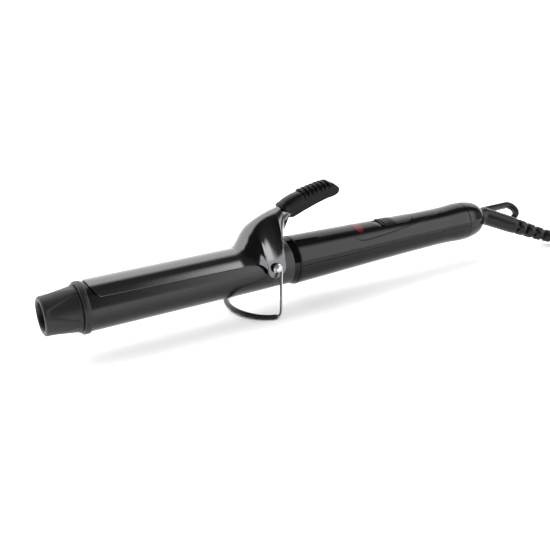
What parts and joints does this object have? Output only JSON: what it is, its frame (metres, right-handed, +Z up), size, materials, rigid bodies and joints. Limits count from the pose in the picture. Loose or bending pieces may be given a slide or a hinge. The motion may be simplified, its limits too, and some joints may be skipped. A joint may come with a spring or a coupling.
{
  "type": "curling iron",
  "caption": "Curling iron with a round heated barrel, sprung clamp with a ribbed thumb lever, fold-away wire stand, slide switch, and a swivel cord with a hang loop.",
  "frame": {"origin": "centre of the base of the iron's own box, without the cord: on the table, half-way along the iron and half-way across its stand", "axes": "+X along the iron from the cool tip to the cord, +Z up, +Y to the far side of the iron with the tip on the left"},
  "size_m": [0.561, 0.0882, 0.0808],
  "materials": {
    "barrel_coat": "black glazed coating, mirror-bright",
    "tip_plastic": "heatproof moulded plastic, fine satin",
    "ceramic": "pressed ceramic, chalky",
    "steel": "plated steel",
    "alloy": "extruded, unpolished",
    "brass": "pressed strip",
    "lead_sheath": "woven glass sleeving",
    "collar_plastic": "heatproof moulded plastic, satin",
    "black_chrome": "black chrome plate",
    "grip_plastic": "satin moulded plastic",
    "chrome_wire": "bright plated wire",
    "sleeve_rubber": "silicone sleeve, satin",
    "handle_gloss": "polished black",
    "panel_gloss": "polished black",
    "red_lens": "tinted clear plastic",
    "lamp_glass": "clear lamp envelope",
    "slider_plastic": "satin moulded plastic",
    "part_grey": "moulded",
    "board": "laminate",
    "nylon": "natural nylon",
    "boot_rubber": "soft moulded plastic, satin",
    "cord_rubber": "soft sheath, satin",
    "tie_plastic": "soft strap",
    "plug_plastic": "moulded, fine grain",
    "pin_brass": "nickel-plated"
  },
  "bodies": {
    "iron": {"barrel": "barrel_coat", "cool_tip": "tip_plastic", "end_ring": "tip_plastic", "tip_insulator": "ceramic", "tip_screw": "steel", "heat_spreaders": "alloy", "heating_stones": "ceramic", "electrodes": "brass", "thermal_fuse": "steel", "temperature_sensor": "lead_sheath", "heater_leads": "lead_sheath", "heat_collar": "collar_plastic", "collar_screws": "steel", "pivot_rivets": "chrome_wire", "clamp_springs": "steel", "handle_ring": "handle_gloss", "handle_upper": "handle_gloss", "handle_lower": "handle_gloss", "shell_screws": "steel", "control_panel": "panel_gloss", "lamp_lens": "red_lens", "indicator_lamp": "lamp_glass", "switch_body": "part_grey", "circuit_board": "board", "board_screws": "steel", "terminal_block": "board", "power_component": "part_grey", "rear_cap": "handle_gloss", "swivel_bush": "nylon", "contact_springs": "brass"},
    "clamp": {"clamp_spoon": "black_chrome", "lever_grip": "grip_plastic"},
    "stand": {"stand_wire": "chrome_wire", "stand_sleeve": "sleeve_rubber"},
    "switch_button": {"power_slider": "slider_plastic"},
    "cord_swivel": {"swivel_core": "part_grey", "contact_rings": "brass", "swivel_boot": "boot_rubber", "strain_relief": "boot_rubber", "cord_tube": "cord_rubber", "cord_coil": "cord_rubber", "coil_tie": "tie_plastic", "plug_body": "plug_plastic", "plug_pins": "pin_brass"}
  },
  "joints": [
    {"name": "clamp_hinge", "type": "hinge", "parent": "iron", "child": "clamp", "pos_m": [-0.046, 0, 0.031], "axis": [0, 1, 0], "range_deg": [0, 20], "stiffness_Nm_per_rad": 0.3, "springref_deg": -17.19},
    {"name": "stand_hinge", "type": "hinge", "parent": "iron", "child": "stand", "pos_m": [-0.046, 0, 0.031], "axis": [0, 1, 0], "range_deg": [-90, 0]},
    {"name": "power_slide", "type": "slide", "parent": "iron", "child": "switch_button", "axis": [-1, 0, 0], "range_m": [0, 0.0055]},
    {"name": "cord_turn", "type": "hinge", "parent": "iron", "child": "cord_swivel", "pos_m": [0.1515, 0, 0.027], "axis": [1, 0, 0], "continuous": true}
  ]
}
